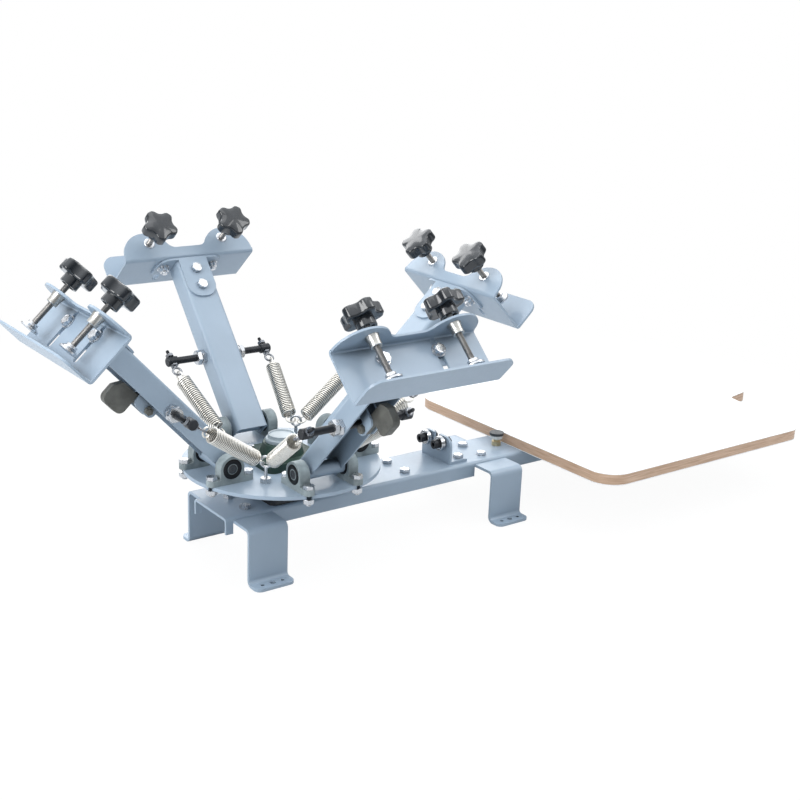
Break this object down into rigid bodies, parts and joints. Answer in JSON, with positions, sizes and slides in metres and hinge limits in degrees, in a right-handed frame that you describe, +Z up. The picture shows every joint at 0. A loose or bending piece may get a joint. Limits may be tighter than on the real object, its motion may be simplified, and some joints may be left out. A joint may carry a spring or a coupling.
{
  "type": "tabletop screen printing press",
  "caption": "Bench screen printing press: turntable with sprung hinged print arms and screen clamps over a garment board on a strap-footed beam.",
  "frame": {"origin": "centre of the rectangle of the four middle bench bolt holes, on the bench top", "axes": "+X along the beam towards the garment board, -Y towards the viewer, +Z up"},
  "size_m": [1.2638, 0.6827, 0.4341],
  "materials": {
    "paint": "satin",
    "zinc": "zinc plated",
    "black_oxide": "black oxide",
    "steel_bright": "ground",
    "board": "white laminate on brown board",
    "hub_green": "painted dark green",
    "cast_grey": "painted grey green",
    "knob": "moulded",
    "gate_metal": "bare, greyed",
    "cap_grey": "satin",
    "brass": "plated"
  },
  "bodies": {
    "frame": {"base_beam": "paint", "foot_straps": "paint", "frame_bolts": "zinc", "platen": "board", "roller_bracket": "paint", "roller_screws": "black_oxide", "stop_stud": "brass", "spindle": "black_oxide"},
    "roller_left": {"roller_left": "steel_bright"},
    "roller_right": {"roller_right": "steel_bright"},
    "turret": {"turntable": "paint", "hub_bearing": "hub_green", "hub_cap": "cap_grey", "spring_posts": "zinc", "pillow_blocks": "cast_grey", "turret_bolts": "zinc"},
    "arm_1": {"arm_tube_1": "paint", "head_plate_1": "paint", "screen_channel_1": "paint", "gate_1": "gate_metal", "spring_bar_1": "black_oxide"},
    "springs_1": {"spring_coils_1": "zinc"},
    "hooks_1": {"spring_hooks_1": "zinc"},
    "pad_left_1": {"clamp_pad_left_1": "zinc"},
    "knob_left_1": {"clamp_knob_left_1": "knob"},
    "pad_right_1": {"clamp_pad_right_1": "zinc"},
    "knob_right_1": {"clamp_knob_right_1": "knob"},
    "arm_2": {"arm_tube_2": "paint", "head_plate_2": "paint", "screen_channel_2": "paint", "gate_2": "gate_metal", "spring_bar_2": "black_oxide"},
    "springs_2": {"spring_coils_2": "zinc"},
    "hooks_2": {"spring_hooks_2": "zinc"},
    "pad_left_2": {"clamp_pad_left_2": "zinc"},
    "knob_left_2": {"clamp_knob_left_2": "knob"},
    "pad_right_2": {"clamp_pad_right_2": "zinc"},
    "knob_right_2": {"clamp_knob_right_2": "knob"},
    "arm_3": {"arm_tube_3": "paint", "head_plate_3": "paint", "screen_channel_3": "paint", "gate_3": "gate_metal", "spring_bar_3": "black_oxide"},
    "springs_3": {"spring_coils_3": "zinc"},
    "hooks_3": {"spring_hooks_3": "zinc"},
    "pad_left_3": {"clamp_pad_left_3": "zinc"},
    "knob_left_3": {"clamp_knob_left_3": "knob"},
    "pad_right_3": {"clamp_pad_right_3": "zinc"},
    "knob_right_3": {"clamp_knob_right_3": "knob"},
    "arm_4": {"arm_tube_4": "paint", "head_plate_4": "paint", "screen_channel_4": "paint", "gate_4": "gate_metal", "spring_bar_4": "black_oxide"},
    "springs_4": {"spring_coils_4": "zinc"},
    "hooks_4": {"spring_hooks_4": "zinc"},
    "pad_left_4": {"clamp_pad_left_4": "zinc"},
    "knob_left_4": {"clamp_knob_left_4": "knob"},
    "pad_right_4": {"clamp_pad_right_4": "zinc"},
    "knob_right_4": {"clamp_knob_right_4": "knob"}
  },
  "joints": [
    {"name": "roller_spin_left", "type": "hinge", "parent": "frame", "child": "roller_left", "pos_m": [0.1259, 0.0165, 0.112], "axis": [1, 0, 0], "continuous": true},
    {"name": "roller_spin_right", "type": "hinge", "parent": "frame", "child": "roller_right", "pos_m": [0.1259, -0.0165, 0.112], "axis": [1, 0, 0], "continuous": true},
    {"name": "turret_spin", "type": "hinge", "parent": "frame", "child": "turret", "pos_m": [-0.134, 0, 0.13], "axis": [0, 0, 1], "continuous": true},
    {"name": "arm_lift_1", "type": "hinge", "parent": "turret", "child": "arm_1", "pos_m": [-0.034, 0, 0.15], "axis": [0, 1, 0], "range_deg": [0, 43.5], "stiffness_Nm_per_rad": 6, "springref_deg": -42.97},
    {"name": "spring_swing_1", "type": "hinge", "parent": "turret", "child": "springs_1", "pos_m": [-0.06824, 0, 0.158], "axis": [0, 1, 0], "range_deg": [0, 32.77]},
    {"name": "spring_stretch_1", "type": "slide", "parent": "springs_1", "child": "hooks_1", "axis": [0.8514, 0, 0.5246], "range_m": [0, 0.01536]},
    {"name": "clamp_travel_left_1", "type": "slide", "parent": "arm_1", "child": "pad_left_1", "axis": [-0.6884, 0, 0.7254], "range_m": [-0.0207, 0.0217]},
    {"name": "knob_turn_left_1", "type": "hinge", "parent": "pad_left_1", "child": "knob_left_1", "pos_m": [0.13259, 0.058, 0.39081], "axis": [-0.6884, 0, 0.7254], "range_deg": [-5982, 6270]},
    {"name": "clamp_travel_right_1", "type": "slide", "parent": "arm_1", "child": "pad_right_1", "axis": [-0.6884, 0, 0.7254], "range_m": [-0.0207, 0.0217]},
    {"name": "knob_turn_right_1", "type": "hinge", "parent": "pad_right_1", "child": "knob_right_1", "pos_m": [0.13259, -0.058, 0.39081], "axis": [-0.6884, 0, 0.7254], "range_deg": [-5982, 6270]},
    {"name": "arm_lift_2", "type": "hinge", "parent": "turret", "child": "arm_2", "pos_m": [-0.134, 0.1, 0.15], "axis": [-1, 0, 0], "range_deg": [0, 49], "stiffness_Nm_per_rad": 6, "springref_deg": -42.97},
    {"name": "spring_swing_2", "type": "hinge", "parent": "turret", "child": "springs_2", "pos_m": [-0.134, 0.06576, 0.158], "axis": [-1, 0, 0], "range_deg": [0, 37.12]},
    {"name": "spring_stretch_2", "type": "slide", "parent": "springs_2", "child": "hooks_2", "axis": [0, 0.8076, 0.5898], "range_m": [0, 0.01876]},
    {"name": "clamp_travel_left_2", "type": "slide", "parent": "arm_2", "child": "pad_left_2", "axis": [0, -0.7547, 0.6561], "range_m": [-0.0237, 0.0187]},
    {"name": "knob_turn_left_2", "type": "hinge", "parent": "pad_left_2", "child": "knob_left_2", "pos_m": [-0.192, 0.24274, 0.40566], "axis": [0, -0.7547, 0.6561], "range_deg": [-6846, 5406]},
    {"name": "clamp_travel_right_2", "type": "slide", "parent": "arm_2", "child": "pad_right_2", "axis": [0, -0.7547, 0.6561], "range_m": [-0.0237, 0.0187]},
    {"name": "knob_turn_right_2", "type": "hinge", "parent": "pad_right_2", "child": "knob_right_2", "pos_m": [-0.076, 0.24274, 0.40566], "axis": [0, -0.7547, 0.6561], "range_deg": [-6846, 5406]},
    {"name": "arm_lift_3", "type": "hinge", "parent": "turret", "child": "arm_3", "pos_m": [-0.234, 0, 0.15], "axis": [0, -1, 0], "range_deg": [0, 47], "stiffness_Nm_per_rad": 6, "springref_deg": -42.97},
    {"name": "spring_swing_3", "type": "hinge", "parent": "turret", "child": "springs_3", "pos_m": [-0.19976, 0, 0.158], "axis": [0, -1, 0], "range_deg": [0, 35.53]},
    {"name": "spring_stretch_3", "type": "slide", "parent": "springs_3", "child": "hooks_3", "axis": [-0.8242, 0, 0.5664], "range_m": [0, 0.01718]},
    {"name": "clamp_travel_left_3", "type": "slide", "parent": "arm_3", "child": "pad_left_3", "axis": [0.7314, 0, 0.682], "range_m": [-0.0117, 0.0307]},
    {"name": "knob_turn_left_3", "type": "hinge", "parent": "pad_left_3", "child": "knob_left_3", "pos_m": [-0.38558, -0.058, 0.40053], "axis": [0.7314, 0, 0.682], "range_deg": [-3390, 8862]},
    {"name": "clamp_travel_right_3", "type": "slide", "parent": "arm_3", "child": "pad_right_3", "axis": [0.7314, 0, 0.682], "range_m": [-0.0117, 0.0307]},
    {"name": "knob_turn_right_3", "type": "hinge", "parent": "pad_right_3", "child": "knob_right_3", "pos_m": [-0.38558, 0.058, 0.40053], "axis": [0.7314, 0, 0.682], "range_deg": [-3390, 8862]},
    {"name": "arm_lift_4", "type": "hinge", "parent": "turret", "child": "arm_4", "pos_m": [-0.134, -0.1, 0.15], "axis": [1, 0, 0], "range_deg": [0, 47], "stiffness_Nm_per_rad": 6, "springref_deg": -42.97},
    {"name": "spring_swing_4", "type": "hinge", "parent": "turret", "child": "springs_4", "pos_m": [-0.134, -0.06576, 0.158], "axis": [1, 0, 0], "range_deg": [0, 35.53]},
    {"name": "spring_stretch_4", "type": "slide", "parent": "springs_4", "child": "hooks_4", "axis": [0, -0.8242, 0.5664], "range_m": [0, 0.01718]},
    {"name": "clamp_travel_left_4", "type": "slide", "parent": "arm_4", "child": "pad_left_4", "axis": [0, 0.7314, 0.682], "range_m": [-0.0067, 0.0357]},
    {"name": "knob_turn_left_4", "type": "hinge", "parent": "pad_left_4", "child": "knob_left_4", "pos_m": [-0.076, -0.25158, 0.40053], "axis": [0, 0.7314, 0.682], "range_deg": [-1950, 10302]},
    {"name": "clamp_travel_right_4", "type": "slide", "parent": "arm_4", "child": "pad_right_4", "axis": [0, 0.7314, 0.682], "range_m": [-0.0067, 0.0357]},
    {"name": "knob_turn_right_4", "type": "hinge", "parent": "pad_right_4", "child": "knob_right_4", "pos_m": [-0.192, -0.25158, 0.40053], "axis": [0, 0.7314, 0.682], "range_deg": [-1950, 10302]}
  ],
  "couplings": [
    {"joint": "spring_swing_1", "follows": "arm_lift_1", "ratio": 0.7464},
    {"joint": "spring_stretch_1", "follows": "arm_lift_1", "m_per_rad": 0.01997},
    {"joint": "knob_turn_left_1", "follows": "clamp_travel_left_1", "rad_per_m": 5026.6},
    {"joint": "knob_turn_right_1", "follows": "clamp_travel_right_1", "rad_per_m": 5026.6},
    {"joint": "spring_swing_2", "follows": "arm_lift_2", "ratio": 0.7514},
    {"joint": "spring_stretch_2", "follows": "arm_lift_2", "m_per_rad": 0.0217},
    {"joint": "knob_turn_left_2", "follows": "clamp_travel_left_2", "rad_per_m": 5026.6},
    {"joint": "knob_turn_right_2", "follows": "clamp_travel_right_2", "rad_per_m": 5026.6},
    {"joint": "spring_swing_3", "follows": "arm_lift_3", "ratio": 0.7495},
    {"joint": "spring_stretch_3", "follows": "arm_lift_3", "m_per_rad": 0.0207},
    {"joint": "knob_turn_left_3", "follows": "clamp_travel_left_3", "rad_per_m": 5026.6},
    {"joint": "knob_turn_right_3", "follows": "clamp_travel_right_3", "rad_per_m": 5026.6},
    {"joint": "spring_swing_4", "follows": "arm_lift_4", "ratio": 0.7495},
    {"joint": "spring_stretch_4", "follows": "arm_lift_4", "m_per_rad": 0.0207},
    {"joint": "knob_turn_left_4", "follows": "clamp_travel_left_4", "rad_per_m": 5026.6},
    {"joint": "knob_turn_right_4", "follows": "clamp_travel_right_4", "rad_per_m": 5026.6}
  ]
}
